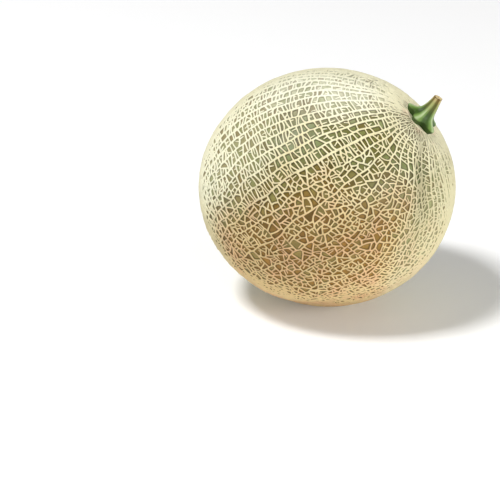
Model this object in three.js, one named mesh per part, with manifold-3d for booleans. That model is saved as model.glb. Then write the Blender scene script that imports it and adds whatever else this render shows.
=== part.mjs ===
// A netted cantaloupe melon at rest on its ground spot, with the stub of its stem still on it.
// Millimetres, +Z up. The origin is the middle of the ground spot, and the stem end leans towards +X.
import * as THREE from "three";
import { mergeVertices } from "three/addons/utils/BufferGeometryUtils.js";
import Module from "manifold-3d";

const wasm = await Module();
wasm.setup();

const degrees = THREE.MathUtils.degToRad;

// The fruit, described as it grows: its own axis runs from the blossom end to the stem end.
const FRUIT_RADIUS = 78.7; // from its middle to the rind, all round
const FURROWS = 10; // shallow furrows from the stem end to the blossom end
const FURROW_DEPTH = 0.5;
const FURROW_SHARPNESS = 3; // higher makes the furrows narrower
const STEM_END = { depth: 2.0, spread: degrees(15) }; // the dimple that the stem sits in
const BLOSSOM_END = { depth: 1.6, spread: degrees(17) }; // the flatter patch at the other end

// The fruit as it lies: its axis rises towards the stem end, and its own weight has flattened it.
const AXIS_RISE = degrees(42.8);
const HEIGHT_SHARE = 0.92; // its height over its width
const GROUND_SPOT_DEPTH = 1.6; // how much of the round shape the flat spot takes off
const CENTRE_HEIGHT = FRUIT_RADIUS * HEIGHT_SHARE - GROUND_SPOT_DEPTH;
const AROUND = 60; // facets round the fruit's axis, a whole number for each furrow
const ALONG = 34; // facets from end to end

// The stem stub, described upright on the fruit's own axis, with its foot at z = 0.
const STEM_LENGTH = 18.7;
const STEM_LOBES = 5; // the toes of its star-shaped foot, which run up the stem as ribs
const FOOT_LOBE_SHARE = 0.18; // how far the toes reach past the foot's mean radius
const RIB_SHARE = 0.07; // the same for the ribs near the cut end
const FOOT_HEIGHT = 5; // where toes give way to ribs
const BEND_RADIUS = 62; // the stem curves upwards
const STEM_SIDES = 40;
const FOOT_DEPTH = 4; // how far the foot's blank reaches into the fruit before it is trimmed
const SEAT_GAP = 0.3; // between the foot and the rind
// Mean radius of the stem at heights above the rind, from the foot to the cut end.
const STEM_PROFILE = [
  [9.5, -FOOT_DEPTH],
  [9.9, 0],
  [9.8, 1.6],
  [8.8, 2.8],
  [6.5, 4.2],
  [5.0, 6.0],
  [4.1, 8.6],
  [3.5, 11.8],
  [3.0, 15.2],
  [2.6, STEM_LENGTH - 0.4],
  [2.2, STEM_LENGTH],
];

const rindMaterial = new THREE.MeshStandardMaterial({
  color: 0xcfcba4,
  roughness: 0.75,
  metalness: 0,
});
const stemMaterial = new THREE.MeshStandardMaterial({
  color: 0x6b8f45,
  roughness: 0.6,
  metalness: 0,
});

// A dip of the given depth at an end of the fruit, fading with the angle away from it.
function dip(end, angle) {
  return end.depth * Math.exp(-((angle / end.spread) ** 2));
}

// The rind's distance from the fruit's middle, at an angle from the stem end and a turn about the axis.
function rindRadius(fromStem, turn) {
  const furrow = ((1 + Math.cos(FURROWS * turn)) / 2) ** FURROW_SHARPNESS;
  const fade = Math.sin(fromStem) ** 2;
  return (
    FRUIT_RADIUS -
    FURROW_DEPTH * furrow * fade -
    dip(STEM_END, fromStem) -
    dip(BLOSSOM_END, Math.PI - fromStem)
  );
}

// Turns and lowers a shape made on an upright axis into the pose in which the fruit lies.
function layDown(geometry) {
  return geometry
    .rotateY(Math.PI / 2 - AXIS_RISE)
    .scale(1, 1, HEIGHT_SHARE)
    .translate(0, 0, CENTRE_HEIGHT);
}

// The whole round fruit before its ground spot, swollen by a margin.
function roundFruit(margin) {
  const sphere = new THREE.SphereGeometry(1, AROUND, ALONG).rotateX(Math.PI / 2);
  const position = sphere.attributes.position;
  const v = new THREE.Vector3();
  for (let i = 0; i < position.count; i++) {
    v.fromBufferAttribute(position, i).normalize();
    const fromStem = Math.acos(THREE.MathUtils.clamp(v.z, -1, 1));
    // The furrow at turn 0 lies on the upper side, which is -X before the fruit is laid down.
    v.multiplyScalar(rindRadius(fromStem, Math.atan2(v.y, -v.x)) + margin);
    position.setXYZ(i, v.x, v.y, v.z);
  }
  return layDown(sphere);
}

// A lathe-turned stem whose radius swells into toes and ribs, bent upwards and set on the stem end.
function stemBlank() {
  const outline = STEM_PROFILE.map(([radius, height]) => new THREE.Vector2(radius, height));
  outline.unshift(new THREE.Vector2(0, -FOOT_DEPTH));
  outline.push(new THREE.Vector2(0, STEM_LENGTH));
  const stem = new THREE.LatheGeometry(outline, STEM_SIDES).rotateX(Math.PI / 2);
  const position = stem.attributes.position;
  for (let i = 0; i < position.count; i++) {
    const [x, y, z] = [position.getX(i), position.getY(i), position.getZ(i)];
    const rise = THREE.MathUtils.smoothstep(z, 0, FOOT_HEIGHT);
    const share = THREE.MathUtils.lerp(FOOT_LOBE_SHARE, RIB_SHARE, rise);
    const swell = 1 + share * Math.cos(STEM_LOBES * Math.atan2(y, -x));
    // Sections stay square to the bent axis, so each one leans as far as the axis has turned.
    const lean = Math.max(z, 0) / BEND_RADIUS;
    const outward = -x * swell;
    position.setXYZ(
      i,
      -(BEND_RADIUS * (1 - Math.cos(lean)) + outward * Math.cos(lean)),
      y * swell,
      Math.min(z, 0) + BEND_RADIUS * Math.sin(lean) - outward * Math.sin(lean),
    );
  }
  const foot = rindRadius(0, 0);
  return stem
    .rotateY(Math.PI / 2 - surfaceRise())
    .translate(
      foot * Math.cos(AXIS_RISE),
      0,
      foot * Math.sin(AXIS_RISE) * HEIGHT_SHARE + CENTRE_HEIGHT,
    );
}

// How steeply the rind faces up at the stem end, once the fruit has flattened.
function surfaceRise() {
  return Math.atan2(Math.sin(AXIS_RISE) / HEIGHT_SHARE, Math.cos(AXIS_RISE));
}

function toSolid(geometry) {
  const bare = geometry.clone();
  bare.deleteAttribute("normal");
  bare.deleteAttribute("uv");
  const merged = mergeVertices(bare, 1e-4);
  return new wasm.Manifold(
    new wasm.Mesh({
      numProp: 3,
      vertProperties: merged.attributes.position.array,
      triVerts: new Uint32Array(merged.index.array),
    }),
  );
}

function toMesh(solid, name, material) {
  const { vertProperties, triVerts } = solid.getMesh();
  const geometry = new THREE.BufferGeometry()
    .setAttribute("position", new THREE.BufferAttribute(vertProperties, 3))
    .setIndex(new THREE.BufferAttribute(triVerts, 1));
  geometry.computeVertexNormals();
  const mesh = new THREE.Mesh(geometry, material);
  mesh.name = name;
  return mesh;
}

// Everything below the surface that the melon rests on.
const below = toSolid(
  new THREE.BoxGeometry(
    4 * FRUIT_RADIUS,
    4 * FRUIT_RADIUS,
    2 * FRUIT_RADIUS,
  ).translate(0, 0, -FRUIT_RADIUS),
);
const fruit = toSolid(roundFruit(0)).subtract(below);
const stem = toSolid(stemBlank()).subtract(toSolid(roundFruit(SEAT_GAP)));

const melon = new THREE.Group();
melon.add(toMesh(fruit, "melon", rindMaterial));
melon.add(toMesh(stem, "stem", stemMaterial));

export default melon;
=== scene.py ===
import math
import random

import bmesh
import bpy
import numpy as np
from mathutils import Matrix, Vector, noise


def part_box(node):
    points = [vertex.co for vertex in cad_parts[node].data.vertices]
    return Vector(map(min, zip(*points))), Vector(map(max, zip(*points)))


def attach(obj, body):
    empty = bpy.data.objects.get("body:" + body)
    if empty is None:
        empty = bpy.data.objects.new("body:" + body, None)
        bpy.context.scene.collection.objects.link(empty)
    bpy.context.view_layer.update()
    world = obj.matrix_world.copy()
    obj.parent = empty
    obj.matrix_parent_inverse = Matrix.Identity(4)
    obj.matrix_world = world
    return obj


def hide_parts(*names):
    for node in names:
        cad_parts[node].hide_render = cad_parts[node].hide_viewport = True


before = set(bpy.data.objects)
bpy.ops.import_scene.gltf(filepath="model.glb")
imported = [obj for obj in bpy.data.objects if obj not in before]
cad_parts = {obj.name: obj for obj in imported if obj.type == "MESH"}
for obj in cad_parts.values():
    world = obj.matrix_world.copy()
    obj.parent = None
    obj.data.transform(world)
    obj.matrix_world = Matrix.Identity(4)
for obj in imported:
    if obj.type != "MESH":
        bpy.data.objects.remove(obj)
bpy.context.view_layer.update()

# ---------------------------------------------------------------------------
# The rind: the fruit's skin, grey-green and waxy, which split as the fruit swelled.
# Each crack healed over with pale cork, so a raised net of cork covers the skin: strong lines run
# from the stem end towards the blossom end, rungs join them, and lower down the net turns irregular.

MM = 0.001
fruit_low, fruit_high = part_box("melon")
FRUIT_RADIUS = (fruit_high.y - fruit_low.y) / 2 / MM
FURROWS = 10
FURROW_DEPTH = 0.5
DEEP_FURROW = math.radians(-111)
DEEPER = 1.8
FURROW_BREADTH = math.radians(6)
FURROW_DRIFT = math.radians(26)
DRIFT_START = math.radians(13)
DRIFT_LENGTH = math.radians(47)
STEM_DIP = (2.0, math.radians(15))
BLOSSOM_DIP = (1.6, math.radians(17))
AXIS_RISE = math.radians(42.8)
HEIGHT_SHARE = 0.92
GROUND_SPOT_DEPTH = 1.6
CENTRE_HEIGHT = FRUIT_RADIUS * HEIGHT_SHARE - GROUND_SPOT_DEPTH

MAIN_LINES = 32
STEPS = 8
RINGS = 112
CAP_ANGLE = math.radians(8)
SCAR_ANGLE = math.radians(175)
# Breadths are half of a ridge's, in millimetres.
THICKEST_LINE, THICKEST_BREADTH = 26, 1.12
MAIN_BREADTH = (0.8, 1.0)
SECOND_BREADTH = 0.84
RUNG_BREADTH = 0.55
SPUR_BREADTH = 0.56
# Rings on which the lines and rungs start, end and follow each other.
SECOND_STARTS, SECOND_ENDS = (12, 27), (80, 96)
FIRST_RUNG, NEXT_RUNG = (7, 13), (5, 9)
FURROW_RUNG, FURROW_RUNGS_END = (10, 15), 50
ODD_LINES_END, EVEN_LINES_END = (97, 102), (104, 106)

SEED = 12
chance = random.Random(SEED)
noise.seed_set(SEED)


def polar(direction):
    """Angle from the stem end and turn about the axis, of a direction in the upright fruit."""
    return (
        math.acos(max(-1.0, min(1.0, direction.z))),
        math.atan2(direction.y, -direction.x),
    )


def furrow_turn(from_stem):
    """Where the deep furrow lies about the axis: it drifts as it runs down the fruit."""
    share = np.clip((from_stem - DRIFT_START) / DRIFT_LENGTH, 0, 1)
    return DEEP_FURROW - FURROW_DRIFT * share * share * (3 - 2 * share)


def rind_radius(from_stem, turn):
    """Distance in millimetres from the fruit's middle to its skin."""
    furrow = ((1 + np.cos(FURROWS * turn)) / 2) ** 3 * np.sin(from_stem) ** 2
    beside = (turn - furrow_turn(from_stem)) / FURROW_BREADTH
    furrow = furrow + DEEPER * np.exp(-(beside**2)) * np.sin(from_stem)
    dips = STEM_DIP[0] * np.exp(-((from_stem / STEM_DIP[1]) ** 2))
    dips += BLOSSOM_DIP[0] * np.exp(-(((math.pi - from_stem) / BLOSSOM_DIP[1]) ** 2))
    return FRUIT_RADIUS - FURROW_DEPTH * furrow - dips


def lay_down(upright):
    """Turns points in millimetres on the upright fruit into metres on the fruit as it lies."""
    tip = math.pi / 2 - AXIS_RISE
    x, y, z = upright.T
    lying = np.stack(
        [
            x * math.cos(tip) + z * math.sin(tip),
            y,
            (z * math.cos(tip) - x * math.sin(tip)) * HEIGHT_SHARE + CENTRE_HEIGHT,
        ],
        axis=1,
    )
    lying[:, 2] = np.maximum(lying[:, 2], 0)
    return lying * MM


def smooth(low, high, value):
    share = min(1.0, max(0.0, (value - low) / (high - low)))
    return share * share * (3 - 2 * share)


def ladder(direction):
    """1 where the net is a ladder of long lines and rungs, 0 where it is irregular."""
    from_stem, turn = map(math.degrees, polar(direction))
    upper = smooth(-80, -62, turn) * (1 - smooth(85, 125, turn))
    limit = 36 + 68 * upper + 12 * noise.noise(direction * 2.3)
    return 1 - smooth(limit - 10, limit + 10, from_stem)


def in_furrow(direction):
    """1 along the deep furrow below the stem, where the net runs in long close strands."""
    from_stem, turn = polar(direction)
    beside = math.exp(-(((turn - furrow_turn(from_stem)) / FURROW_BREADTH) ** 2))
    from_stem = math.degrees(from_stem)
    return beside * smooth(13, 22, from_stem) * (1 - smooth(54, 70, from_stem))


bpy.ops.object.select_all(action="DESELECT")
bpy.ops.mesh.primitive_uv_sphere_add(segments=MAIN_LINES * STEPS, ring_count=RINGS, radius=1)
rind = bpy.context.object
rind.name = "netted_rind"

# Which edges of the round blank are lines of the net.
cap_ring = round(math.degrees(CAP_ANGLE) / 180 * RINGS)
scar_ring = round(math.degrees(SCAR_ANGLE) / 180 * RINGS)
starts = [chance.randint(*SECOND_STARTS) for _ in range(MAIN_LINES)]
ends = [chance.randint(*SECOND_ENDS) for _ in range(MAIN_LINES)]
main_breadth = [chance.uniform(*MAIN_BREADTH) for _ in range(MAIN_LINES)]
main_breadth[THICKEST_LINE] = THICKEST_BREADTH
furrow_line = round(DEEP_FURROW / math.tau * MAIN_LINES) % MAIN_LINES
rungs = []
for strip in range(MAIN_LINES):
    furrowed = strip in (furrow_line - 1, furrow_line)
    picked = [set(), set()]
    for half in (0, 1):
        ring = cap_ring + chance.randint(*FIRST_RUNG)
        while ring < scar_ring:
            if starts[strip] < ring < ends[strip]:
                picked[half].add(ring)
            elif half == 0:
                picked[0].add(ring)
                picked[1].add(ring)
            sparse = furrowed and ring < FURROW_RUNGS_END
            ring += chance.randint(*(FURROW_RUNG if sparse else NEXT_RUNG))
    for half in (0, 1):
        picked[half] |= {starts[strip], ends[strip], cap_ring, scar_ring}
    rungs.append(picked)

# Three in four of the lines stop short of the blossom scar, each on a rung that its neighbours share.
last_ring = [scar_ring] * MAIN_LINES
for line in range(MAIN_LINES):
    if line % 4 == 0:
        continue
    reach = 1 if line % 2 else 2
    last_ring[line] = chance.randint(*(ODD_LINES_END if line % 2 else EVEN_LINES_END))
    beyond = {ring for ring in rungs[line][0] if ring > last_ring[line]}
    for strip in range(line - reach, line + reach):
        for half in (0, 1):
            before = {ring for ring in rungs[strip][half] if ring <= last_ring[line]}
            rungs[strip][half] = before | beyond | {last_ring[line]}

bpy.ops.object.mode_set(mode="EDIT")
bpy.ops.mesh.select_all(action="DESELECT")
bpy.ops.mesh.select_mode(type="EDGE")
net = bmesh.from_edit_mesh(rind.data)
rank = net.edges.layers.int.new("rank")
breadth = net.edges.layers.float.new("breadth")
around = MAIN_LINES * STEPS
for edge in net.edges:
    places = []
    for v in edge.verts:
        from_stem, turn = polar(v.co)
        places.append((round(from_stem / math.pi * RINGS), turn / math.tau * around))
    (ring_a, at_a), (ring_b, at_b) = places
    if ring_a == ring_b:
        low = min(at_a, at_b)
        if abs(at_a - at_b) > around / 2:
            low = max(at_a, at_b)
        column = math.floor(low + 0.5) % around
        keep = ring_a in rungs[column // STEPS][column % STEPS // (STEPS // 2)]
        edge[rank] = 2
        edge[breadth] = RUNG_BREADTH
    else:
        pole = 0 in (ring_a, ring_b) or RINGS in (ring_a, ring_b)
        column = round(at_a if not pole else 0) % around
        ring = min(ring_a, ring_b)
        main = column % STEPS == 0 and cap_ring <= ring < last_ring[column // STEPS]
        second = (
            column % STEPS == STEPS // 2
            and starts[column // STEPS] <= ring < ends[column // STEPS]
        )
        keep = (main or second) and not pole
        edge[rank] = 0 if main else 1
        edge[breadth] = main_breadth[column // STEPS] if main else SECOND_BREADTH
    edge.select_set(not keep)
bmesh.update_edit_mesh(rind.data)
bpy.ops.mesh.dissolve_edges(use_verts=False)
bpy.ops.object.mode_set(mode="OBJECT")
net.free()


# Points are put in order along a way that no two of them share a place on.
ORDER_WAY = Vector((0.81, 9.3, 101.7))


def in_fixed_order(net):
    """Copies the net with its points and cells in an order that is the same on every run."""
    rank = net.edges.layers.int["rank"]
    breadth = net.edges.layers.float["breadth"]
    net.verts.sort(key=lambda v: v.co.dot(ORDER_WAY))
    net.verts.index_update()
    kinds = {tuple(sorted(v.index for v in e.verts)): (e[rank], e[breadth]) for e in net.edges}
    outlines = []
    for cell in net.faces:
        ids = [v.index for v in cell.verts]
        first = ids.index(min(ids))
        outlines.append(ids[first:] + ids[:first])
    ordered = bmesh.new()
    rank = ordered.edges.layers.int.new("rank")
    breadth = ordered.edges.layers.float.new("breadth")
    verts = [ordered.verts.new(v.co) for v in net.verts]
    for ids in sorted(outlines):
        ordered.faces.new([verts[i] for i in ids])
    ordered.verts.index_update()
    for edge in ordered.edges:
        edge[rank], edge[breadth] = kinds[tuple(sorted(v.index for v in edge.verts))]
    net.free()
    return ordered, rank, breadth


def end_cells(net):
    """The cells round the stem and round the blossom scar."""
    ends = (Vector((0, 0, 1)), Vector((0, 0, -1)))
    return [min(net.faces, key=lambda f: (f.calc_center_median() - e).length) for e in ends]


net = bmesh.new()
net.from_mesh(rind.data)
net, rank, breadth = in_fixed_order(net)

# The lines beside the deep furrow drift with it, and those further off hold their own way.
DRIFT_FULL = math.radians(8)
DRIFT_REACH_AHEAD, DRIFT_REACH_BEHIND = math.radians(45), math.radians(110)
for v in net.verts:
    from_stem, turn = polar(v.co)
    beside = (turn - DEEP_FURROW + math.pi) % math.tau - math.pi
    reach = DRIFT_REACH_AHEAD if beside > 0 else DRIFT_REACH_BEHIND
    share = 1 - smooth(DRIFT_FULL, reach, abs(beside))
    turn += (furrow_turn(from_stem) - DEEP_FURROW) * share
    out = math.sin(from_stem)
    v.co = Vector((-out * math.cos(turn), out * math.sin(turn), math.cos(from_stem)))

# The lines wander: a smooth warp of the whole sphere, stronger where the net is irregular.
for v in net.verts:
    loose = 1 - ladder(v.co)
    from_stem, turn = polar(v.co)
    fade = smooth(math.radians(7), math.radians(20), from_stem)
    fade *= smooth(math.radians(4), math.radians(20), math.pi - from_stem)
    broad = noise.noise_vector(v.co * 3.1) * (0.045 + 0.02 * loose)
    fine = noise.noise_vector(v.co * 9.0 + Vector((5, 0, 0))) * (0.006 + 0.022 * loose)
    v.co = (v.co + (broad + fine) * fade).normalized()


def cell_plane(corners):
    """Middle of a cell with the directions along and across the fruit there."""
    middle = sum(corners, Vector()).normalized()
    across = Vector((0, 0, 1)).cross(middle).normalized()
    return middle, across.cross(middle), across


def crosses_itself(outline):
    a, b = outline, np.roll(outline, -1, axis=0)
    way = (b - a)[:, None]
    sides = []
    for ends in (a, b):
        off = ends[None] - a[:, None]
        sides.append(way[..., 0] * off[..., 1] - way[..., 1] * off[..., 0])
    across = sides[0] * sides[1] < -1e-14
    turned_over = np.dot(a[:, 0], b[:, 1]) < np.dot(a[:, 1], b[:, 0])
    return turned_over or (across & across.T).any()


def runs_over_itself(cell, left_out=()):
    """Whether a cell's outline crosses itself once the points left out of it are gone."""
    corners = [v.co for v in cell.verts if v not in left_out]
    middle, along, across = cell_plane(corners)
    return crosses_itself(np.array([(c.dot(along), c.dot(across)) for c in corners]))


def cell_area(flat):
    x, y = flat.T
    return abs(np.dot(x, np.roll(y, -1)) - np.dot(y, np.roll(x, -1))) / 2


def cell_centre(flat):
    """The centre of a cell's area."""
    x, y = flat.T
    cross = x * np.roll(y, -1) - y * np.roll(x, -1)
    sums = [((x + np.roll(x, -1)) * cross).sum(), ((y + np.roll(y, -1)) * cross).sum()]
    return np.array(sums) / 3 / cross.sum()


# Cells above this many square millimetres crack, smaller ones low down, and none gets narrower
# than the narrowest, in millimetres. The rest says how a crack picks its way.
CELL_AREA, LESS_LOW_DOWN = 28, 8
NARROWEST = 4.4
STEP_LENGTH = 1.9
TRIES = 9
OFF_CENTRE = 0.16
LEAN, LOOSE_LEAN = 0.22, 0.12
JOINT_GAP = 1.7
SLANT = 0.5
WORST_FAULT = 3
SNAP = 0.55
BOW, WOBBLE = 0.07, 0.17
CRACK_BREADTH, OLDER_BROADER = 0.62, 0.2


def largest_cell(middle):
    """Area in square millimetres above which a cell still cracks."""
    from_stem, turn = polar(middle)
    under = smooth(-0.3, 0.7, -math.cos(turn)) * math.sin(from_stem)
    size = CELL_AREA - LESS_LOW_DOWN * under
    size *= 1 + 0.5 * noise.noise(middle * 4.0 + Vector((0, 9, 0)))
    size *= smooth(math.radians(2), math.radians(32), from_stem) * 0.7 + 0.3
    return size * chance.uniform(0.6, 1.5)


def turned(way, angle):
    """A flat direction turned by an angle."""
    c, s = math.cos(angle), math.sin(angle)
    return np.array([way[0] * c - way[1] * s, way[0] * s + way[1] * c])


def crack(cell):
    """Splits one cell by a new line across its longer way, and returns the new cell."""
    corners = [v.co for v in cell.verts]
    middle, along, across = cell_plane(corners)
    flat = np.array([(c.dot(along), c.dot(across)) for c in corners]) * FRUIT_RADIUS
    if cell_area(flat) < largest_cell(middle) * (1 - 0.5 * in_furrow(middle)):
        return None
    from_stem = polar(middle)[0]
    open_net = smooth(math.radians(15), math.radians(29), from_stem)
    strand = in_furrow(middle)
    stretch = (0.22 + (0.78 + 0.95 * ladder(middle)) * open_net) * (1 - 0.82 * strand)
    centre = cell_centre(flat)
    about = (flat - centre) * [stretch, 1]
    weight = np.hypot(*(flat - np.roll(flat, 1, axis=0)).T)
    spread = (about * weight[:, None]).T @ about
    long_way = np.linalg.eigh(spread)[1][:, 1]
    extent = np.ptp(about @ long_way)
    normal = np.array([long_way[0], long_way[1] / stretch])
    narrowest = NARROWEST * (0.5 + 0.5 * open_net) * (1 - 0.3 * strand)
    if np.ptp(flat @ normal) / np.hypot(*normal) < narrowest:
        return None
    joints = [i for i, v in enumerate(cell.verts) if len(v.link_edges) > 2]
    best = None
    for _ in range(TRIES):
        shift = chance.uniform(-OFF_CENTRE, OFF_CENTRE)
        through = centre + long_way * extent * shift / [stretch, 1]
        lean = chance.gauss(0, LEAN + LOOSE_LEAN * (1 - ladder(middle)))
        heading = turned(np.array([-long_way[1] / stretch, long_way[0]]), lean)
        heading /= np.hypot(*heading)
        away = flat - through
        side = away[:, 0] * heading[1] - away[:, 1] * heading[0]
        after = np.roll(side, -1)
        crossings = []
        for i in np.nonzero(side * after < 0)[0]:
            t = side[i] / (side[i] - after[i])
            j = (i + 1) % len(flat)
            place = flat[i] + (flat[j] - flat[i]) * t
            crossings.append(((place - through) @ heading, i, t, place))
        ahead = [c for c in crossings if c[0] > 0]
        behind = [c for c in crossings if c[0] <= 0]
        if not ahead or not behind:
            continue
        pair = (max(behind, key=lambda c: c[0]), min(ahead, key=lambda c: c[0]))
        fault = 0
        for reach, i, t, place in pair:
            if joints:
                gap = np.hypot(*(flat[joints] - place).T).min()
                fault += max(0, JOINT_GAP - gap)
            side_way = flat[(i + 1) % len(flat)] - flat[i]
            slant = abs(side_way @ heading) / np.hypot(*side_way)
            fault += 1.5 * max(0, slant - SLANT)
        if best is None or fault < best[0]:
            best = (fault, pair)
    if best is None or best[0] > WORST_FAULT:
        return None
    area = cell_area(flat)
    ends_of_line = []
    edges = [loop.edge for loop in cell.loops]
    verts = list(cell.verts)
    for reach, i, t, place in best[1]:
        a, b = verts[i], verts[(i + 1) % len(verts)]
        length = np.hypot(*(flat[(i + 1) % len(flat)] - flat[i]))
        if t * length < SNAP and len(a.link_edges) == 2:
            ends_of_line.append(a)
        elif (1 - t) * length < SNAP and len(b.link_edges) == 2:
            ends_of_line.append(b)
        else:
            ends_of_line.append(bmesh.utils.edge_split(edges[i], a, t)[1])
    a, b = ends_of_line
    if a == b or any(e.other_vert(a) == b for e in a.link_edges):
        return None
    way = b.co - a.co
    length = way.length * FRUIT_RADIUS
    steps = max(1, round(length / STEP_LENGTH))
    sideways = way.cross(middle).normalized() / FRUIT_RADIUS
    bow = chance.gauss(0, BOW) * length
    path = []
    for k in range(1, steps):
        share = k / steps
        offset = bow * math.sin(math.pi * share) + chance.gauss(0, WOBBLE)
        path.append((a.co + way * share + sideways * offset).normalized())
    new_cell, _ = bmesh.utils.face_split(cell, a, b, coords=path)
    if runs_over_itself(cell) or runs_over_itself(new_cell):
        for v in set(cell.verts) & set(new_cell.verts) - {a, b}:
            v.co = (a.co + way * ((v.co - a.co).dot(way) / way.dot(way))).normalized()
    width = CRACK_BREADTH + OLDER_BROADER * smooth(25, 140, area) + chance.uniform(-0.07, 0.08)
    for edge in set(cell.edges) & set(new_cell.edges):
        edge[rank] = 2
        edge[breadth] = width
    return new_cell


ends_of_fruit = end_cells(net)
waiting = [f for f in net.faces if f not in ends_of_fruit]
while waiting:
    cell = waiting.pop()
    new_cell = crack(cell)
    if new_cell:
        waiting += [cell, new_cell]

# The finished lines pull straight where they meet, as healed cracks do, and none is pulled over
# another.
PULLS = 3
for _ in range(PULLS):
    moved = {}
    for v in net.verts:
        links = v.link_edges
        if len(links) < 2:
            continue
        own = [e for e in links if e[rank] == 0]
        if own:
            links = own if len(own) == 2 else []
        if not links:
            continue
        pull = 0.3 if len(links) == 2 else 0.1 + 0.06 * (1 - ladder(v.co))
        mean = sum((e.other_vert(v).co for e in links), Vector()) / len(links)
        moved[v] = (v.co + (mean - v.co) * pull).normalized()
    unmoved = {v: v.co.copy() for v in moved}
    for v, co in moved.items():
        v.co = co
    for cell in net.faces:
        if runs_over_itself(cell):
            for v in cell.verts:
                v.co = unmoved.get(v, v.co)

# Points closer together than the lines need are taken out again, where no line bends sharply.
SPARE_RUN, SPARE_BEND = 2.3, 0.5
spare = []
used = set()
for v in net.verts:
    if len(v.link_edges) != 2 or v in used:
        continue
    a, b = (e.other_vert(v) for e in v.link_edges)
    way_in, way_out = v.co - a.co, b.co - v.co
    if a in used or b in used:
        continue
    run = (way_in.length + way_out.length) * FRUIT_RADIUS
    if run < SPARE_RUN and way_in.angle(way_out, 0) < SPARE_BEND:
        spare.append(v)
        used |= {a, b, v}
needed = set()
for cell in net.faces:
    if runs_over_itself(cell, set(spare) & set(cell.verts)):
        needed |= set(cell.verts)
bmesh.ops.dissolve_verts(net, verts=[v for v in spare if v not in needed])
net, rank, breadth = in_fixed_order(net)
cap, scar = end_cells(net)

# Each cell's share of the ridges is built inwards from its outline: crest, shoulder and foot.
RIDGE_HEIGHT = 1.15
SKIN_BELOW = 0.5
SPUR_CELL, LARGE_CELL = 13, 30
SPUR_CHANCE, SPUR_RUN, SPUR_LONGEST, SPUR_SHORTEST = 0.55, (0.5, 0.72), 5.0, 1.5
SPUR_CLEARANCE, SPUR_HEIGHT = 1.15, 0.65
FOOT_SHARES = (1.0, 0.8, 0.6, 0.4, 0.25)
FEET_TOGETHER = 0.03
FLOOR_RISE, FLOOR_HIGHEST = 0.14, 0.3
net.verts.index_update()
ways = [v.co.copy() for v in net.verts]
line_height = [0.0] * len(ways)
strength = []
for v in net.verts:
    from_stem, turn = polar(v.co)
    fade = 0.38 + 0.62 * smooth(math.radians(9), math.radians(25), from_stem)
    fade *= 1.05 + 0.1 * max(0, math.cos(turn))
    fade *= 0.6 + 0.4 * smooth(math.radians(5), math.radians(14), math.pi - from_stem)
    fade *= 1 + 0.16 * noise.noise(v.co * 11)
    strength.append(fade)
    wide = max(e[breadth] for e in v.link_edges)
    line_height[v.index] = RIDGE_HEIGHT * (0.62 + 0.42 * wide) * fade

directions = [tuple(w) for w in ways]
heights = list(line_height)
cork = [1.0] * len(ways)
faces = []
shade_of_cell = []
flat_floor = []
foot_edges = []


def add_ring(flat, rises, share, frame3):
    middle, along, across = frame3
    first = len(directions)
    for (x, y), rise in zip(flat / FRUIT_RADIUS, rises):
        up = math.sqrt(max(0.0, 1 - x * x - y * y))
        directions.append(tuple(along * x + across * y + middle * up))
        heights.append(rise)
        cork.append(share)
    return first


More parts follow.
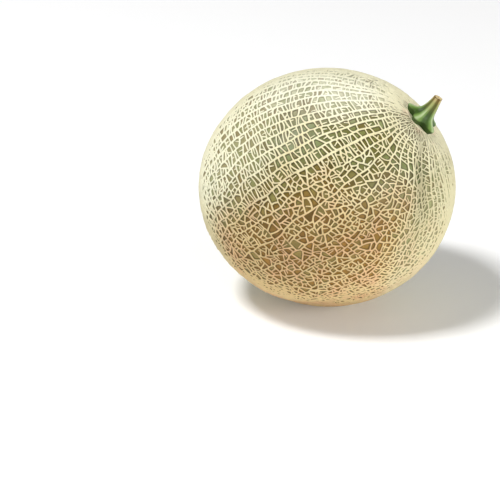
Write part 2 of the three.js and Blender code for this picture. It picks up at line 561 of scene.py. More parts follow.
def fill_cell(cell):
    ids = [v.index for v in cell.verts]
    corners = [v.co for v in cell.verts]
    frame3 = cell_plane(corners)
    middle, along, across = frame3
    flat = np.array([(c.dot(along), c.dot(across)) for c in corners]) * FRUIT_RADIUS
    loose = 1 - ladder(middle)
    widths = []
    for loop in cell.loops:
        wide = loop.edge[breadth]
        if wide > 0.72:
            wide += (0.72 - wide) * loose * 0.8
        widths.append(wide)
    widths = np.array(widths) * (1 - 0.22 * in_furrow(middle))
    size = cell_area(flat)
    # Dead-end cracks reach into the larger cells.
    plain = [i for i, v in enumerate(cell.verts) if len(v.link_edges) == 2]
    chance.shuffle(plain)
    added = []
    ahead = []
    for i in plain[: 3 if size > SPUR_CELL else 0]:
        if chance.random() < SPUR_CHANCE or len(added) == (2 if size > LARGE_CELL else 1):
            continue
        i += sum(2 for place in added if place < i)
        added.append(i)
        n = len(flat)
        inward = flat[(i + 1) % n] - flat[i - 1]
        inward = turned(np.array([-inward[1], inward[0]]), chance.gauss(0, 0.25))
        inward /= np.hypot(*inward)
        reach = min(clear_way(flat, i, inward) * chance.uniform(*SPUR_RUN), SPUR_LONGEST)
        tip = flat[i] + inward * reach
        if reach < SPUR_SHORTEST or nearest_side(flat, i, tip) < SPUR_CLEARANCE:
            added.pop()
            continue
        ahead.append(tip + inward * min(0.5 * clear_way(flat, i, inward) - 0.5 * reach, 2.0))
        first = add_ring(tip[None], [heights[ids[i]] * SPUR_HEIGHT], 1.0, frame3)
        flat = np.vstack([flat[: i + 1], [tip], flat[i:]])
        ids = ids[: i + 1] + [first] + ids[i:]
        widths = np.concatenate([widths[:i], [SPUR_BREADTH] * 2, widths[i:]])
    n = len(flat)
    fade = np.array([strength[i] if i < len(strength) else 1.0 for i in ids])
    ways_on = np.roll(flat, -1, axis=0) - flat
    ways_on /= np.maximum(np.hypot(*ways_on.T), 1e-6)[:, None]
    normals = np.stack([-ways_on[:, 1], ways_on[:, 0]], axis=1)
    points, owners = [], []
    for i in range(n):
        w_in, w_out = widths[i - 1] * fade[i], widths[i] * fade[i]
        n_in, n_out = normals[i - 1], normals[i]
        c = n_in @ n_out
        left = ways_on[i - 1][0] * ways_on[i][1] - ways_on[i - 1][1] * ways_on[i][0]
        if left <= 1e-6 and c < 0.1:
            outs = [n_in * w_in, ways_on[i - 1] * (w_in + w_out) / 2, n_out * w_out]
        elif 1 - c * c < 0.1 and c > 0:
            mean = n_in + n_out
            outs = [mean / np.hypot(*mean) * (w_in + w_out) / 2]
        else:
            base = max(1 - c * c, 0.1)
            outs = [n_in * (w_in - c * w_out) / base + n_out * (w_out - c * w_in) / base]
            if left > 0.3:
                outs[0] = outs[0] * 1.12
        for out in outs:
            reach = np.hypot(*out)
            room = clear_way(flat, i, out / reach)
            limit = min(0.4 * room, 2.6 * max(w_in, w_out))
            points.append(out * min(1, limit / reach))
            owners.append(i)
    points = np.array(points)
    owners = np.array(owners)
    # In a narrow cell the ridges' feet draw back until their outline no longer crosses itself.
    for share in FOOT_SHARES:
        foot = flat[owners] + points * share
        for _ in range(3):
            step = np.roll(foot, -1, axis=0) - foot
            run = np.roll(flat[owners], -1, axis=0) - flat[owners]
            back = (step * run).sum(1) < 0
            if not back.any():
                break
            for k in np.nonzero(back)[0]:
                m = (k + 1) % len(foot)
                foot[k] = foot[m] = (foot[k] + foot[m]) / 2
        # Where the feet of two lines run together they share one point.
        own_point = np.hypot(*(foot - np.roll(foot, 1, axis=0)).T) > FEET_TOGETHER
        if own_point.sum() < 3:
            own_point[:] = True
        number = (np.cumsum(own_point) - 1) % own_point.sum()
        foot = foot[own_point]
        if not crosses_itself(foot):
            break
    first = add_ring(foot, [0.0] * len(foot), 0.0, frame3)
    shade = chance.random()
    for k in range(len(owners)):
        after = (k + 1) % len(owners)
        outline = [ids[owners[k]], ids[owners[after]], first + number[after], first + number[k]]
        outline = list(dict.fromkeys(int(i) for i in outline))
        if len(outline) < 3:
            continue
        faces.append(tuple(outline))
        foot_edges.append((first + number[k], first + number[after]))
        shade_of_cell.append(shade)
        flat_floor.append(0)
    # The skin inside swells a little towards the middle of the cell.
    m = len(foot)
    for point in [foot.mean(axis=0), cell_centre(foot)] + ahead:
        to_a, to_b = foot - point, np.roll(foot, -1, axis=0) - point
        turn_way = to_a[:, 0] * to_b[:, 1] - to_a[:, 1] * to_b[:, 0]
        if turn_way.min() < 0.01:
            continue
        clear = (turn_way / np.maximum(np.hypot(*(to_b - to_a).T), 1e-6)).min()
        rise = min(FLOOR_HIGHEST, FLOOR_RISE * clear)
        # Its cork value falls below zero with the distance to the ridges, which fades the painted
        # crease shade across the floor.
        top = add_ring(point[None], [rise], -min(clear, 3.0), frame3)
        for k in range(m):
            faces.append((first + k, first + (k + 1) % m, top))
            shade_of_cell.append(shade)
            flat_floor.append(0)
        return
    # A cell that cannot swell keeps one flat floor, which takes an even, weaker share of the painted
    # crease shade.
    faces.append(tuple(range(first, first + m)))
    shade_of_cell.append(shade)
    flat_floor.append(1)


def nearest_side(flat, i, point):
    """Distance from a point inside a cell to its outline, leaving out the sides at corner i."""
    keep = [k for k in range(len(flat)) if k not in (i, (i - 1) % len(flat))]
    a = flat[keep]
    b = flat[[(k + 1) % len(flat) for k in keep]]
    share = ((point - a) * (b - a)).sum(1) / np.maximum(((b - a) ** 2).sum(1), 1e-9)
    foot = a + (b - a) * np.clip(share, 0, 1)[:, None]
    return np.hypot(*(foot - point).T).min()


def clear_way(flat, i, way):
    """How far a cell stays open from corner i in the given direction."""
    start = flat[i]
    a = flat - start
    b = np.roll(flat, -1, axis=0) - start
    side_a = a[:, 0] * way[1] - a[:, 1] * way[0]
    side_b = b[:, 0] * way[1] - b[:, 1] * way[0]
    hit = (side_a * side_b < 0) | ((np.abs(side_b) < 1e-9) & (np.abs(side_a) > 1e-9))
    near = (np.hypot(*a.T) < 1e-6) | (np.hypot(*b.T) < 1e-6)
    hit &= ~near
    if not hit.any():
        return 50.0
    t = side_a[hit] / (side_a[hit] - side_b[hit])
    along = ((a[hit] + (b[hit] - a[hit]) * t[:, None]) @ way)
    along = along[along > 1e-6]
    return along.min() if len(along) else 50.0


def close_end(cell, rings):
    """Fills an end of the fruit with rings: (share of its angle, height, how corky)."""
    corners = [v.co for v in cell.verts]
    middle = Vector((0, 0, round(corners[0].z)))
    before = [v.index for v in cell.verts]
    for share, rise, corky in rings:
        ring = []
        for corner in corners:
            ring.append(len(directions))
            directions.append(tuple(middle.slerp(corner, share) if share else middle))
            heights.append(rise + 0.25 * share * noise.noise(Vector(directions[-1]) * 45))
            cork.append(corky)
            if not share:
                break
        for k in range(len(corners)):
            m = (k + 1) % len(corners)
            if share:
                faces.append((before[k], before[m], ring[m], ring[k]))
            else:
                faces.append((before[k], before[m], ring[0]))
            shade_of_cell.append(0.5)
            flat_floor.append(0)
        before = ring


for cell in net.faces:
    if cell == cap:
        close_end(cell, [(0.85, 0.1, 0.6), (0.5, 0.05, 0.6), (0, 0.05, 0.6)])
    elif cell == scar:
        close_end(
            cell,
            [
                (0.94, 0.7, 1),
                (0.84, 0.75, 1),
                (0.74, 0.45, 1),
                (0.62, 0.0, 1),
                (0.45, -0.2, 1),
                (0.25, -0.15, 1),
                (0.1, 0.1, 1),
                (0, 0.2, 1),
            ],
        )
    else:
        fill_cell(cell)

directions = np.array(directions)
from_stem = np.arccos(np.clip(directions[:, 2], -1, 1))
turn = np.arctan2(directions[:, 1], -directions[:, 0])
radius = rind_radius(from_stem, turn) - SKIN_BELOW + np.array(heights)
places = lay_down(directions * radius[:, None])
mesh = bpy.data.meshes.new("netted_rind")
mesh.from_pydata(places, [], faces)
net.free()
mesh.attributes.new("cork", "FLOAT", "POINT").data.foreach_set("value", cork)
mesh.attributes.new("cell_tone", "FLOAT", "FACE").data.foreach_set("value", shade_of_cell)
mesh.attributes.new("flat_floor", "FLOAT", "FACE").data.foreach_set("value", flat_floor)
mesh.attributes.new("from_stem", "FLOAT", "POINT").data.foreach_set("value", from_stem)
beside_furrow = turn - furrow_turn(from_stem)
mesh.attributes.new("beside_furrow", "FLOAT", "POINT").data.foreach_set("value", beside_furrow)
mesh.shade_smooth()
sharp = {tuple(sorted(e)) for e in foot_edges}
for edge in mesh.edges:
    edge.use_edge_sharp = tuple(sorted(edge.vertices)) in sharp
rind.data = mesh


def tone(code):
    """An sRGB colour as Blender's linear one."""
    parts = [int(code[i : i + 2], 16) / 255 for i in (1, 3, 5)]
    return [c / 12.92 if c <= 0.04045 else ((c + 0.055) / 1.055) ** 2.4 for c in parts] + [1]


def new_material(name):
    material = bpy.data.materials.new(name)
    material.use_nodes = True
    material.node_tree.nodes.clear()
    return material, material.node_tree


def add_node(tree, kind, inputs, output=0, **settings):
    """Adds a node with its settings, fills or links its inputs, and gives one of its outputs."""
    node = tree.nodes.new("ShaderNode" + kind)
    for key, value in settings.items():
        setattr(node, key, value)
    for key, value in inputs.items():
        if isinstance(value, bpy.types.NodeSocket):
            tree.links.new(value, node.inputs[key])
        else:
            node.inputs[key].default_value = value
    return node.outputs[output] if node.outputs else None


# Healed cork is matt and grainy, dries to pale cream, and is tan with specks where it lay on soil, a
# tan that is in part painted warm reflected light.
# The skin between is waxy, so smoother with a soft gloss: green, olive-brown below, in part as
# painted warm reflected light, and painted pale as light at the top, round the rim and on the sides.
cork_on_skin, tree = new_material("cork_net_on_waxy_green_skin")
place = add_node(tree, "TexCoord", {}, "Object")
centre = (0, 0, CENTRE_HEIGHT * MM)
from_middle = add_node(tree, "VectorMath", {0: place, 1: centre}, operation="SUBTRACT")

# Everything that the colours are mixed by, under its name.
at = {"height": add_node(tree, "SeparateXYZ", {0: place}, "Z")}
for mark in ("cork", "cell_tone", "flat_floor", "from_stem", "beside_furrow"):
    at[mark] = add_node(tree, "Attribute", {}, "Fac", attribute_name=mark)

# Noise: its patches' size in millimetres, its detail and roughness, and where it is taken from.
for drawn, across, detail, roughness, offset in (
    ("soil_patches", 45, 2, 0.5, 0),
    ("top_patches", 30, 2, 0.5, 0),
    ("painted_light_patches", 25, 2, 0.5, 0),
    ("green_patches", 22, 2, 0.5, 3),
    ("tan_patches", 16, 2, 0.5, 8),
    ("cream_patches", 14, 2, 0.5, 0),
    ("olive_patches", 12, 2, 0.5, 5),
    ("blush_patches", 9, 2, 0.5, 2),
    ("scar_patches", 1.8, 3, 0.6, 0),
    ("mottles", 1.6, 3, 0.6, 0),
    ("coarse_grain", 1.4, 2, 0.5, 0),
    ("ragged_foot", 1.2, 3, 0.5, 0),
    ("specks", 0.9, 4, 0.7, 0),
    ("fine_grain", 0.45, 3, 0.5, 0),
):
    inputs = {"Vector": place, "W": offset, "Scale": 1 / (across * MM)}
    inputs |= {"Detail": detail, "Roughness": roughness}
    at[drawn] = add_node(tree, "TexNoise", inputs, "Fac", noise_dimensions="4D")

# How far a point lies towards each side of the fruit: the side that faced the soil while it grew,
# which also carries painted warm reflected light; the front, away from which light is painted pale;
# and the upper left and the right, which are also painted pale as light.
for side, way in (
    ("soilward", (0.15, -0.76, -0.64)),
    ("leafward", (0.05, -0.95, 0.25)),
    ("skyward", (-0.75, -0.35, 0.56)),
    ("rightward", (0.95, 0.07, -0.3)),
):
    inputs = {0: from_middle, 1: Vector(way).normalized()}
    at[side] = add_node(tree, "VectorMath", inputs, "Value", operation="DOT_PRODUCT")

# Each share is a smooth ramp, of what, from and to, with its values there, or a sum or product.
reach = FRUIT_RADIUS * MM
PAINTED_LIGHT_RAGGED, TOP_RAGGED, SOIL_RAGGED = 0.012, 0.02, 0.03
for share, how, *values in (
    ("soil_edge", "MULTIPLY_ADD", "soil_patches", SOIL_RAGGED, "soilward"),
    ("all_soil_side", "SMOOTHSTEP", "soil_edge", 0.033, 0.077, 0, 1),
    # Light is painted pale round the rim away from the front, on the upper left and on the right.
    ("front_edge", "MULTIPLY_ADD", "painted_light_patches", PAINTED_LIGHT_RAGGED, "leafward"),
    ("painted_light_off_front", "SMOOTHSTEP", "front_edge", 0.1 * reach, 0.62 * reach, 1, 0),
    ("upper_left_edge", "MULTIPLY_ADD", "painted_light_patches", PAINTED_LIGHT_RAGGED, "skyward"),
    ("painted_light_left", "SMOOTHSTEP", "upper_left_edge", 0.72 * reach, reach, 0, 1),
    ("right_edge", "MULTIPLY_ADD", "painted_light_patches", PAINTED_LIGHT_RAGGED, "rightward"),
    ("to_right", "SMOOTHSTEP", "right_edge", 0.6 * reach, 0.92 * reach, 0, 1),
    ("less_soil", "SMOOTHSTEP", "to_right", 0, 0.7, 1, 0.4),
    ("soil_side_and_warm_bounce", "MULTIPLY", "all_soil_side", "less_soil"),
    ("painted_light_rim_and_right", "MAXIMUM", "painted_light_off_front", "to_right"),
    ("painted_light_sides", "MAXIMUM", "painted_light_rim_and_right", "painted_light_left"),
    # The top is painted pale, as light falling from above.
    ("top_edge", "MULTIPLY_ADD", "top_patches", TOP_RAGGED, "height"),
    ("upper", "SMOOTHSTEP", "top_edge", 0.134, 0.151, 0, 1),
    # The cork's own shares.
    ("cream_share", "SMOOTHSTEP", "cream_patches", 0.35, 0.7, 0, 1),
    ("tan_share", "SMOOTHSTEP", "tan_patches", 0.45, 0.62, 0, 1),
    # Painted light: paler cork on the upper left, and greyer cork where the rim and right are painted
    # pale.
    ("painted_light_left_cork", "MULTIPLY", "painted_light_left", 0.8),
    ("greyed_cork", "MULTIPLY", "painted_light_rim_and_right", 0.7),
    ("soil_and_bounce_cork", "MULTIPLY", "soil_side_and_warm_bounce", 0.85),
    ("speck_share", "SMOOTHSTEP", "specks", 0.56, 0.72, 0, 0.3),
    # The skin's own shares; about half the cells are a little browner, and half a little brighter.
    ("green_share", "SMOOTHSTEP", "green_patches", 0.35, 0.65, 0, 1),
    ("olive_share", "SMOOTHSTEP", "olive_patches", 0.35, 0.65, 0, 1),
    ("soil_and_bounce_skin", "MULTIPLY", "soil_side_and_warm_bounce", 0.9),
    # Painted light: paler skin round the rim, on the upper left and right, and at the top.
    ("painted_light_skin", "MULTIPLY", "painted_light_sides", 0.8),
    ("upper_skin", "MULTIPLY", "upper", 0.95),
    ("brown_cells", "SMOOTHSTEP", "cell_tone", 0, 0.5, 0.38, 0),
    ("bright_cells", "SMOOTHSTEP", "cell_tone", 0.5, 1, 0, 0.38),
    ("mottle_share", "SMOOTHSTEP", "mottles", 0.4, 0.75, 0, 0.3),
    # The deepest furrow kept the green of the unripe fruit; its cork is duller and darker, and the
    # painted shade in its creases stays deep.
    ("off_furrow", "ABSOLUTE", "beside_furrow"),
    ("near_furrow", "SMOOTHSTEP", "off_furrow", math.radians(2), math.radians(11), 0.6, 0),
    ("furrow_length", "SMOOTHSTEP", "from_stem", math.radians(38), math.radians(66), 1, 0),
    ("furrow_way", "MULTIPLY", "near_furrow", "furrow_length"),
    # Beside the stem the young skin stayed smooth and pale, with a faint blush.
    ("by_stem", "SMOOTHSTEP", "from_stem", math.radians(12), math.radians(33), 1, 0),
    ("pale_skin", "MULTIPLY", "by_stem", 0.85),
    ("pale_cork", "MULTIPLY", "by_stem", 0.9),
    ("blush_ring", "SMOOTHSTEP", "from_stem", math.radians(9), math.radians(16), 0.4, 0),
    ("blush_share", "SMOOTHSTEP", "blush_patches", 0.5, 0.64, 0, 1),
    ("blush", "MULTIPLY", "blush_ring", "blush_share"),
    # The spot that it rests on never saw the sun.
    ("near_ground", "SMOOTHSTEP", "height", 0.002, 0.016, 1, 0),
    ("ground_spot", "MULTIPLY", "near_ground", 0.8),
    # Shade is painted into the crease at the foot of each ridge and a little way across the cell
    # floor: least where light is painted on, except in the furrow, less on the soil side, and weaker
    # but even in flat-floored cells.
    ("crease_floor", "SMOOTHSTEP", "cork", -0.55, 0, 0, 1),
    ("crease_foot", "SMOOTHSTEP", "cork", 0.15, 0.45, 0.75, 0),
    ("whole_crease_shade", "MULTIPLY", "crease_floor", "crease_foot"),
    ("lit", "MAXIMUM", "painted_light_sides", "upper"),
    ("lit_crease", "SMOOTHSTEP", "lit", 0, 1, 1, 0.35),
    ("furrow_crease", "MULTIPLY", "furrow_way", 1.6),
    ("open_crease", "MAXIMUM", "lit_crease", "furrow_crease"),
    ("shaded_crease", "MULTIPLY", "whole_crease_shade", "open_crease"),
    ("soil_crease", "SMOOTHSTEP", "soil_side_and_warm_bounce", 0, 1, 1, 0.75),
    ("crease_shade_by_side", "MULTIPLY", "shaded_crease", "soil_crease"),
    ("flat_share", "SMOOTHSTEP", "flat_floor", 0, 1, 1, 0.3),
    ("painted_crease_shade", "MULTIPLY", "crease_shade_by_side", "flat_share"),
    ("foot_line", "MULTIPLY_ADD", "ragged_foot", 0.2, -0.1),
    ("ragged_cork", "ADD", "cork", "foot_line"),
    ("on_cork", "SMOOTHSTEP", "ragged_cork", 0.24, 0.5, 0, 1),
    # The blossom scar, where the flower dropped off.
    ("at_scar", "SMOOTHSTEP", "from_stem", math.radians(174.5), math.radians(176.6), 0, 1),
    ("scar_share", "MULTIPLY", "at_scar", 0.85),
    ("scar_tone", "SMOOTHSTEP", "scar_patches", 0.4, 0.62, 0, 1),
    # Waxy skin to dry cork, and the grain that the cork has more of.
    ("roughness", "SMOOTHSTEP", "on_cork", 0, 1, 0.45, 0.8),
    ("coarse", "MULTIPLY", "coarse_grain", 1.5),
    ("grain", "ADD", "fine_grain", "coarse"),
    ("grain_share", "SMOOTHSTEP", "on_cork", 0, 1, 0.3, 1),
    ("relief", "MULTIPLY", "grain", "grain_share"),
):
    inputs = {i: at.get(value, value) for i, value in enumerate(values)}
    if how == "SMOOTHSTEP":
        at[share] = add_node(tree, "MapRange", inputs, interpolation_type=how)
    else:
        at[share] = add_node(tree, "Math", inputs, operation=how)

# Each coat of colour goes over the one under it, as far as its share says.
coats = {}
for coat, share, under, over in (
    ("cream", "cream_share", "#ECE6C0", "#E5DAAE"),
    # Painted light: the cork paler on the upper left and at the top, and greyer where the rim and
    # right are painted pale.
    ("cream", "painted_light_left_cork", "cream", "#F6F4DA"),
    ("cream", "upper", "cream", "#F8F7E2"),
    ("cream", "greyed_cork", "cream", "#D8D2AC"),
    # The tan on the side that lay on soil is in part painted warm reflected light.
    ("tan", "tan_share", "#E5C890", "#E4B988"),
    ("cork", "soil_and_bounce_cork", "cream", "tan"),
    ("cork", "speck_share", "cork", "#C29E6C"),
    ("cork", "furrow_way", "cork", "#BDB48C"),
    ("cork", "pale_cork", "cork", "#E6E0BE"),
    ("cork", "blush", "cork", "#DDBBA2"),
    ("green", "green_share", "#7A8550", "#757236"),
    ("olive", "olive_share", "#9C722A", "#A87830"),
    # The olive-brown of that side is in part painted warm reflected light.
    ("skin", "soil_and_bounce_skin", "green", "olive"),
    # Painted light: the skin paler round the rim, on the upper left and right, and nearly white at
    # the top.
    ("skin", "painted_light_skin", "skin", "#AFAB81"),
    ("skin", "upper_skin", "skin", "#E0DFC4"),
    ("skin", "brown_cells", "skin", "#7E5A24"),
    ("skin", "bright_cells", "skin", "#8F9A62"),
    ("skin", "mottle_share", "skin", "#5C4C22"),
    ("skin", "furrow_way", "skin", "#7A8558"),
    ("skin", "pale_skin", "skin", "#C9C39E"),
    ("skin", "blush", "skin", "#D2AE92"),
    ("skin", "ground_spot", "skin", "#DCCB8F"),
    # Painted shade in the crease at the foot of each ridge.
    ("skin", "painted_crease_shade", "skin", "#42350D"),
    ("scar", "scar_tone", "#B79C6C", "#7E6038"),
    ("rind", "on_cork", "skin", "cork"),
    ("rind", "scar_share", "rind", "scar"),
):
    inputs = {0: at[share]}
    for socket, colour in ((6, under), (7, over)):
        inputs[socket] = coats[colour] if colour in coats else tone(colour)
    coats[coat] = add_node(tree, "Mix", inputs, 2, data_type="RGBA")

inputs = {"Strength": 0.5, "Distance": 0.00012, "Height": at["relief"]}
bump = add_node(tree, "Bump", inputs)
inputs = {"Base Color": coats["rind"], "Roughness": at["roughness"], "Normal": bump}
inputs["Specular IOR Level"] = 0.35
add_node(tree, "OutputMaterial", {"Surface": add_node(tree, "BsdfPrincipled", inputs)})
rind.data.materials.clear()
rind.data.materials.append(cork_on_skin)
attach(rind, "root")
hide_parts("melon")

# ---------------------------------------------------------------------------
# The stem: the stub of the vine's stalk, cut when the melon was picked.
# It is green and fleshy, spreads on the rind in a star of five thick toes that run up it as
# ribs, and dries to straw at the cut.

STEM_LENGTH = 18.7
STEM_BEND = 62
TOES = 5
TOE_REACH = [1.0, 1.05, 0.96, 1.04, 0.98]
STEM_SIDES = 80
TOE_SWELL, RIB_SWELL = 0.17, 0.075
FINE_RIBS, FINE_RIB_SWELL = 15, 0.022
UNEVEN = 0.04
TOE_SAG = 0.5
CUT_LEVEL, CUT_RADIUS = 18.33, 2.3
# The streaks are a ninth of a radian wide, 0.6 mm on the stalk, and 3.7 mm long: the real fibres are
# finer than shows, so these are drawn coarser.
FIBRES_IN_A_RADIAN = 9.0
FIBRE_STRETCH = 0.03
# Mean radius at heights above the rind, in millimetres, from inside the rind to the cut.
STEM_OUTLINE = [
    (7.9, -1.6),
    (8.4, -0.6),
    (9.0, 0.4),
    (9.6, 1.5),
    (10.0, 2.5),
    (10.0, 3.1),
    (9.4, 3.5),
    (8.4, 3.9),
    (7.3, 4.5),
    (6.3, 5.3),
    (5.5, 6.3),
    (4.9, 7.5),
    (4.4, 9.0),
    (3.95, 10.8),
    (3.55, 12.7),
    (3.15, 14.6),
    (2.85, 16.4),
    (2.65, 17.6),
    (2.7, 18.3),
    (2.55, 18.65),
    (2.15, 18.75),
    (1.5, 18.5),
    (0.8, 18.35),
]

bpy.ops.object.select_all(action="DESELECT")
radius, level = STEM_OUTLINE[0]
bpy.ops.mesh.primitive_circle_add(
    vertices=STEM_SIDES, radius=radius * MM, fill_type="TRIFAN", location=(0, 0, level * MM)
)
stem = bpy.context.object
stem.name = "stem_stub"
bpy.ops.object.transform_apply(location=True)
bpy.ops.object.mode_set(mode="EDIT")
bpy.ops.mesh.select_all(action="SELECT")
bpy.ops.mesh.flip_normals()
bpy.ops.mesh.select_mode(type="EDGE")
bpy.ops.mesh.select_all(action="DESELECT")
bpy.ops.mesh.select_non_manifold()
for wider, higher in STEM_OUTLINE[1:]:
    bpy.ops.mesh.extrude_edges_move(
        TRANSFORM_OT_translate={"value": (0, 0, (higher - level) * MM)}
    )
    bpy.ops.transform.resize(
        value=(wider / radius, wider / radius, 1), center_override=(0, 0, higher * MM)
    )
    radius, level = wider, higher
bpy.ops.mesh.extrude_edges_move(TRANSFORM_OT_translate={"value": (0, 0, 0)})
bpy.ops.mesh.merge(type="CENTER")
bpy.ops.mesh.select_all(action="SELECT")
bpy.ops.mesh.normals_make_consistent(inside=False)
bpy.ops.object.mode_set(mode="OBJECT")


def toe(turn):
    """1 on the middle of a toe and -1 in the notches, with how far that toe reaches."""
    which = round(turn / math.tau * TOES) % TOES
    return 1 - 2 * abs(math.sin(TOES * turn / 2)) ** 1.7, TOE_REACH[which]


foot_out = rind_radius(0.0, 0.0)
foot_place = Vector(
    (
        foot_out * math.cos(AXIS_RISE),
        0,
        foot_out * math.sin(AXIS_RISE) * HEIGHT_SHARE + CENTRE_HEIGHT,
    )
)
lean_back = math.pi / 2 - math.atan2(math.sin(AXIS_RISE) / HEIGHT_SHARE, math.cos(AXIS_RISE))
ribs, rises, fibres, cuts = [], [], [], []
for v in stem.data.vertices:
    x, y, z = v.co / MM
    turn = math.atan2(y, -x)
    lobe, reach = toe(turn)
    low = 1 - smooth(1.5, 7.5, z)
    share = RIB_SWELL + TOE_SWELL * low
    at_cut = smooth(STEM_LENGTH - 1.0, STEM_LENGTH, z)
    swell = 1 + share * lobe * (1 - 0.6 * at_cut)
    swell *= 1 + (reach - 1) * low * max(0, lobe)
    swell *= 1 + FINE_RIB_SWELL * math.cos(FINE_RIBS * turn + 1) * smooth(3, 8, z) * (1 - at_cut)
    uneven = Vector((math.cos(turn) * 1.7, math.sin(turn) * 1.7, z * 0.12))
    swell *= 1 + UNEVEN * noise.noise(uneven)
    # The toes sag towards the rind at their ends, and the notches rise off it.
    sag = TOE_SAG * low * max(0, -lobe) * smooth(0, 2, z)
    out_x, y, z_up = -x * swell, y * swell, z + sag
    z_up += 0.25 * at_cut * noise.noise(Vector((x, y, 3)) * 0.9)
    lean = max(z_up, 0) / STEM_BEND
    bent = Vector(
        (
            -(STEM_BEND * (1 - math.cos(lean)) + out_x * math.cos(lean)),
            y,
            min(z_up, 0) + STEM_BEND * math.sin(lean) - out_x * math.sin(lean),
        )
    )
    c, s = math.cos(lean_back), math.sin(lean_back)
    v.co = (Vector((bent.x * c + bent.z * s, bent.y, bent.z * c - bent.x * s)) + foot_place) * MM
    ribs.append(lobe)
    rises.append(z / STEM_LENGTH)
    cuts.append(1.0 if z > CUT_LEVEL and math.hypot(x, y) < CUT_RADIUS else 0.0)
    fibres.extend((math.cos(turn), math.sin(turn), z * FIBRE_STRETCH))
mesh = stem.data
mesh.attributes.new("rib", "FLOAT", "POINT").data.foreach_set("value", ribs)
mesh.attributes.new("rise", "FLOAT", "POINT").data.foreach_set("value", rises)
mesh.attributes.new("cut", "FLOAT", "POINT").data.foreach_set("value", cuts)
mesh.attributes.new("fibre", "FLOAT_VECTOR", "POINT").data.foreach_set("vector", fibres)
mesh.shade_smooth()
smoother = stem.modifiers.new("smoother", "SUBSURF")
smoother.levels = smoother.render_levels = 1
bpy.context.view_layer.objects.active = stem
bpy.ops.object.modifier_apply(modifier="smoother")

# The fresh stalk is a fleshy green with a slight sheen, darker in its grooves, in part as painted
# shade, and with a painted highlight along the tops of its ribs.
# Towards the cut it has dried to dull straw, with a dark rim round pale pith.
green_stalk, tree = new_material("fresh_green_stalk_drying_to_straw")
place = add_node(tree, "TexCoord", {}, "Object")
at = {}
for mark in ("rib", "rise", "cut"):
    at[mark] = add_node(tree, "Attribute", {}, "Fac", attribute_name=mark)
fibre_way = add_node(tree, "Attribute", {}, "Vector", attribute_name="fibre")
inputs = {"Vector": fibre_way, "Scale": FIBRES_IN_A_RADIAN, "Detail": 3.0, "Roughness": 0.6}
at["streaks"] = add_node(tree, "TexNoise", inputs, "Fac")
for drawn, across in (("pith", 0.9), ("pores", 0.8)):
    inputs = {"Vector": place, "W": 0.0, "Scale": 1 / (across * MM), "Detail": 2}
    at[drawn] = add_node(tree, "TexNoise", inputs, "Fac", noise_dimensions="4D")
for share, how, *values in (
    ("rib_side", "SUBTRACT", "rib", 0.5),
    ("streaked_rib", "MULTIPLY_ADD", "streaks", 1.0, "rib_side"),
    ("on_rib", "SMOOTHSTEP", "streaked_rib", -0.8, 1.0, 0, 1),
    # A painted highlight along the rib tops.
    ("rib_top", "SMOOTHSTEP", "rib", 0.55, 0.98, 0, 1),
    ("pale_streaks", "SMOOTHSTEP", "streaks", 0.3, 0.55, 0.3, 0.75),
    ("rib_light", "MULTIPLY", "rib_top", "pale_streaks"),
    ("drying", "SMOOTHSTEP", "rise", 0.34, 0.74, 0, 1),
    ("dry", "SMOOTHSTEP", "rise", 0.74, 0.98, 0, 1),
    ("near_cut", "SMOOTHSTEP", "rise", 0.95, 0.985, 0, 1),
    ("rim_streaks", "SMOOTHSTEP", "streaks", 0.4, 0.6, 0.2, 0.9),
    ("rim", "MULTIPLY", "near_cut", "rim_streaks"),
    ("pith_tone", "SMOOTHSTEP", "pith", 0.42, 0.6, 0, 1),
    # The ends of the toes curl under, out of the light, and painted shade makes them the darkest
    # green.
    ("toe_end_shade", "SMOOTHSTEP", "rise", 0.1, 0.17, 0.85, 0),
    ("roughness", "SMOOTHSTEP", "rise", 0.3, 0.8, 0.5, 0.75),
    ("pore_relief", "MULTIPLY", "pores", 0.4),
    ("relief", "ADD", "streaks", "pore_relief"),
):
    inputs = {i: at.get(value, value) for i, value in enumerate(values)}
    if how == "SMOOTHSTEP":
        at[share] = add_node(tree, "MapRange", inputs, interpolation_type=how)
    else:
        at[share] = add_node(tree, "Math", inputs, operation=how)
coats = {}
for coat, share, under, over in (
    # The grooves are darker than the ribs, in part as painted shade, and the rib tops carry a painted
    # highlight.
    ("fresh", "on_rib", "#375216", "#779848"),
    ("fresh", "rib_light", "fresh", "#B6C698"),
    ("drier", "on_rib", "#5F602A", "#A3A868"),
    ("straw", "on_rib", "#7B6531", "#C4B07A"),
    ("stalk", "drying", "fresh", "drier"),
    ("stalk", "dry", "stalk", "straw"),
    ("stalk", "rim", "stalk", "#54452A"),
    ("cut_face", "pith_tone", "#DCCB98", "#8A6E42"),
    ("stalk", "cut", "stalk", "cut_face"),
    # Painted shade at the ends of the toes.
    ("stalk", "toe_end_shade", "stalk", "#27420C"),
):
    inputs = {0: at[share]}
    for socket, colour in ((6, under), (7, over)):
        inputs[socket] = coats[colour] if colour in coats else tone(colour)
    coats[coat] = add_node(tree, "Mix", inputs, 2, data_type="RGBA")
bump = add_node(tree, "Bump", {"Strength": 0.6, "Distance": 0.0002, "Height": at["relief"]})
inputs = {"Base Color": coats["stalk"], "Roughness": at["roughness"], "IOR": 1.42, "Normal": bump}
add_node(tree, "OutputMaterial", {"Surface": add_node(tree, "BsdfPrincipled", inputs)})
stem.data.materials.clear()
stem.data.materials.append(green_stalk)
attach(stem, "root")
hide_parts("stem")

# ---------------------------------------------------------------------------
# The stage: a plain pale floor, soft light from above, from the right and from the front, and the
# camera.

FLOOR_ACROSS = 12
bpy.ops.mesh.primitive_plane_add(size=FLOOR_ACROSS, location=(0, 0, 0))
floor = bpy.context.object
floor.name = "floor"
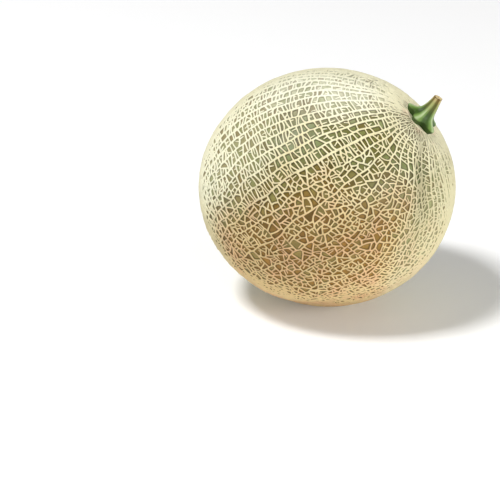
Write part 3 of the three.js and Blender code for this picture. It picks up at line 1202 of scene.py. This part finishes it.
# Uncoated paper is matt and bright, and spreads the light that falls on it.
paper, tree = new_material("matte_white_paper")
inputs = {"Base Color": tone("#F8F8F8"), "Roughness": 0.9}
inputs |= {"Emission Color": tone("#FFFFFF"), "Emission Strength": 0.1}
add_node(tree, "OutputMaterial", {"Surface": add_node(tree, "BsdfPrincipled", inputs)})
floor.data.materials.append(paper)

scene = bpy.context.scene
scene.view_settings.view_transform = "Standard"
world = bpy.data.worlds.new("white_studio")
world.use_nodes = True
tree = world.node_tree
tree.nodes.clear()
# The walls are white up to a little above the horizon, and dimmer higher up.
WALL_TOP, CEILING = 0.03, 0.2
WALL_LIGHT, CEILING_LIGHT = 0.96, 0.2
looking = add_node(tree, "TexCoord", {}, "Generated")
steepness = add_node(tree, "SeparateXYZ", {0: looking}, "Z")
inputs = {0: steepness, 1: WALL_TOP, 2: CEILING, 3: WALL_LIGHT, 4: CEILING_LIGHT}
strength = add_node(tree, "MapRange", inputs, interpolation_type="SMOOTHSTEP")
walls = add_node(tree, "Background", {"Color": (1, 1, 1, 1), "Strength": strength})
add_node(tree, "OutputWorld", {"Surface": walls})
scene.world = world

# Softboxes: where each stands, its side in metres and its watts. The two low ones stand well back,
# because such a light falls on the floor only in front of its own plane.
middle = Vector((0, 0, CENTRE_HEIGHT * MM))
for name, stands, side, watts in (
    ("softbox_above", (-1.2, -0.65, 2.75), 0.7, 76),
    ("softbox_right", (5.1, -1.2, 1.0), 3.0, 180),
    ("softbox_front", (2.7, -5.1, 1.15), 3.6, 63),
):
    data = bpy.data.lights.new(name, "AREA")
    data.size = side
    data.energy = watts
    lamp = bpy.data.objects.new(name, data)
    lamp.location = stands
    lamp.rotation_euler = (middle - Vector(stands)).to_track_quat("-Z", "Y").to_euler()
    scene.collection.objects.link(lamp)

FRAME_ACROSS = 3.94 * FRUIT_RADIUS * MM
AZIMUTH, ELEVATION = math.radians(11), math.radians(20)
DISTANCE = 1.2
SENSOR = 36
AIM_LEFT, AIM_DOWN = 0.152, 0.128
back = Vector(
    (
        math.sin(AZIMUTH) * math.cos(ELEVATION),
        -math.cos(AZIMUTH) * math.cos(ELEVATION),
        math.sin(ELEVATION),
    )
)
right = Vector((math.cos(AZIMUTH), math.sin(AZIMUTH), 0))
up = back.cross(right)
camera_data = bpy.data.cameras.new("camera")
camera = bpy.data.objects.new("camera", camera_data)
scene.collection.objects.link(camera)
scene.camera = camera
camera_data.sensor_width = SENSOR
camera_data.lens = SENSOR * DISTANCE / FRAME_ACROSS
camera.location = middle + back * DISTANCE
aim = middle - right * AIM_LEFT * FRAME_ACROSS - up * AIM_DOWN * FRAME_ACROSS
camera.rotation_euler = (aim - camera.location).to_track_quat("-Z", "Y").to_euler()
